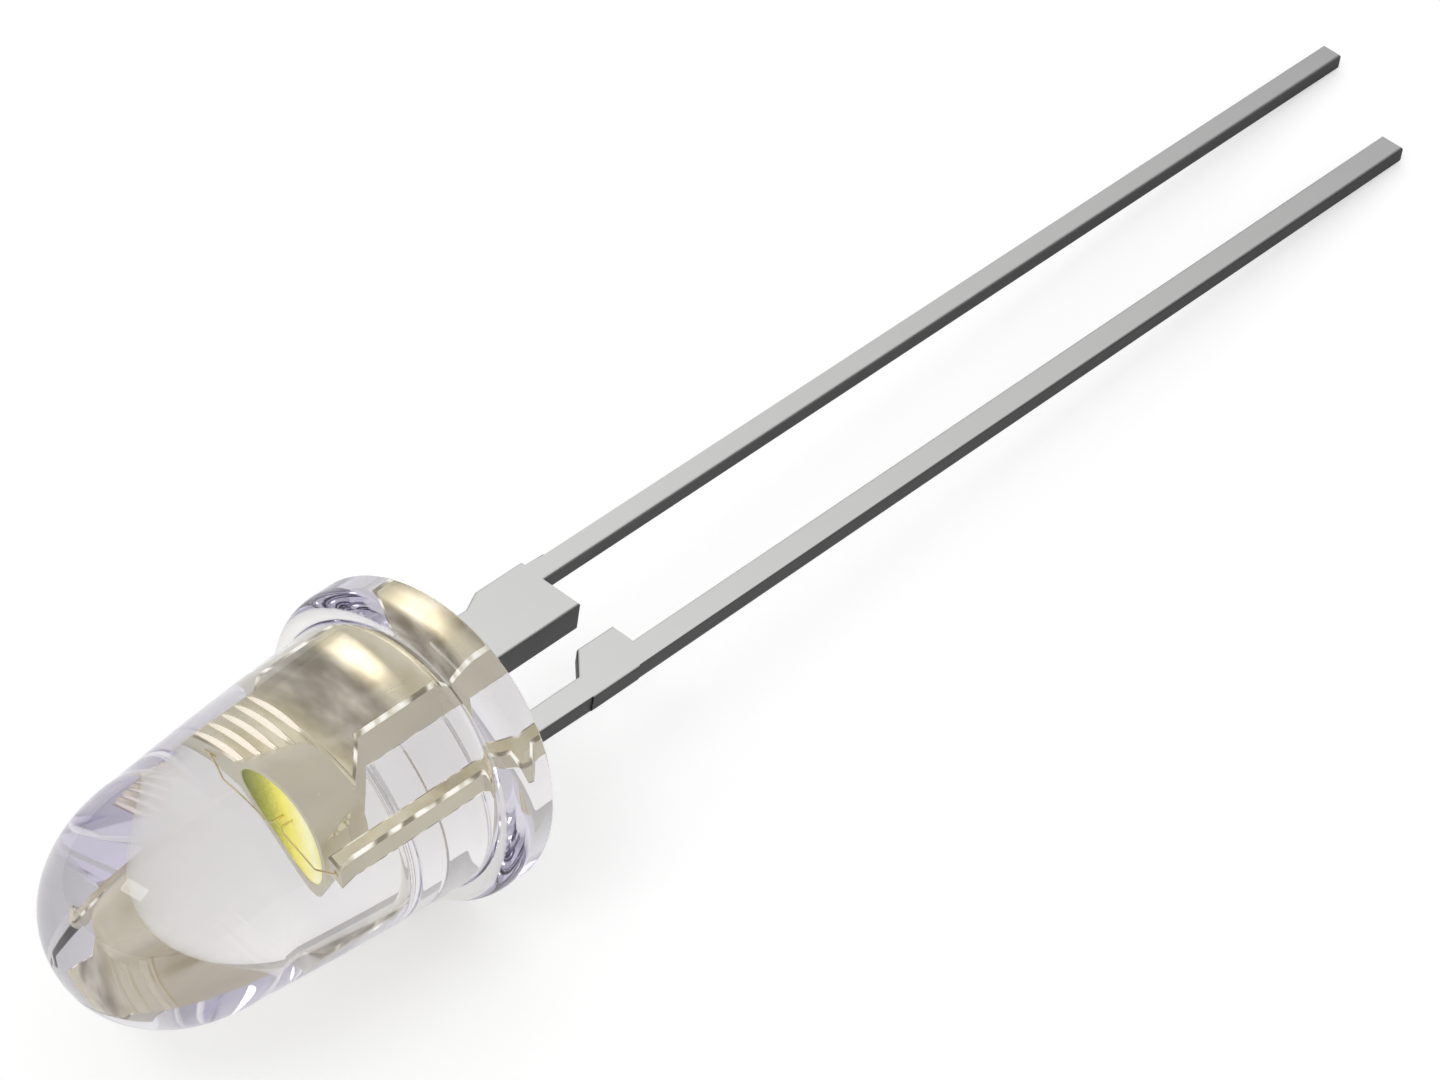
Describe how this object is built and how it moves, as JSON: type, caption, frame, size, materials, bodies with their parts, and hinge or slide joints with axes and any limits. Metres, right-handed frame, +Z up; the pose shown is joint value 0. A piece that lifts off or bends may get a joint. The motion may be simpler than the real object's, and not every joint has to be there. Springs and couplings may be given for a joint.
{
  "type": "through hole led",
  "caption": "Clear round through hole LED: domed epoxy lens with a flange, phosphor filled reflector cup and two long leads with stand-offs.",
  "frame": {"origin": "bottom centre of the whole part's box as it lies on the floor, on its flange and its lead tips", "axes": "+X from the dome to the lead tips, +Y from the short lead to the long lead, +Z up, out of the lead frame's flush front face"},
  "size_m": [0.0354, 0.0058, 0.0059],
  "materials": {
    "clear_epoxy": "gloss",
    "silver_plate": "satin",
    "gold_wire": "polished",
    "phosphor_resin": "matte",
    "chip": "polished",
    "chip_adhesive": "gloss"
  },
  "bodies": {
    "root": {"lens": "clear_epoxy", "anvil_lead": "silver_plate", "post_lead": "silver_plate", "die": "chip", "die_attach": "chip_adhesive", "phosphor": "phosphor_resin", "anode_bond_wire": "gold_wire", "cathode_bond_wire": "gold_wire"}
  },
  "joints": []
}
